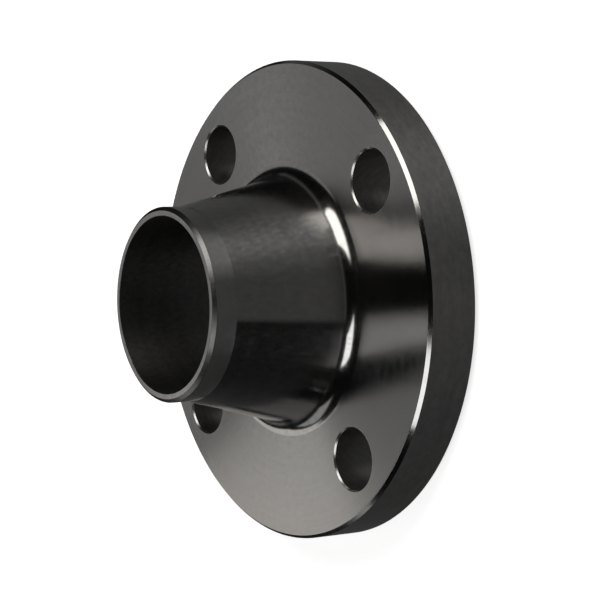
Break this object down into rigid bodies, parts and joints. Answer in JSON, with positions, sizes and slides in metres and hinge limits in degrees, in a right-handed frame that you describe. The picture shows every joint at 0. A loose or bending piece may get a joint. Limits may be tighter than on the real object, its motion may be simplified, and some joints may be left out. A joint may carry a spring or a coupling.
{
  "type": "weld neck pipe flange",
  "caption": "Raised face weld neck pipe flange with a tapered hub and bevelled weld end, for bolting a butt-welded pipe run to a matching flange.",
  "frame": {"origin": "centre of the bore at the gasket face", "axes": "+Z along the bore axis, from the gasket face towards the weld end; the bolt holes straddle X and Y"},
  "size_m": [0.1524, 0.1524, 0.0635],
  "materials": {
    "plate_steel": "turned, darkened by oil or phosphate",
    "gasket_face_steel": "concentric serrations, darkened",
    "hub_steel": "turned, darkened by oil or phosphate",
    "weld_end_steel": "fine turned, bevel and land left brighter"
  },
  "bodies": {
    "root": {"flange_ring": "plate_steel", "raised_face": "gasket_face_steel", "hub": "hub_steel", "weld_end": "weld_end_steel"}
  },
  "joints": []
}
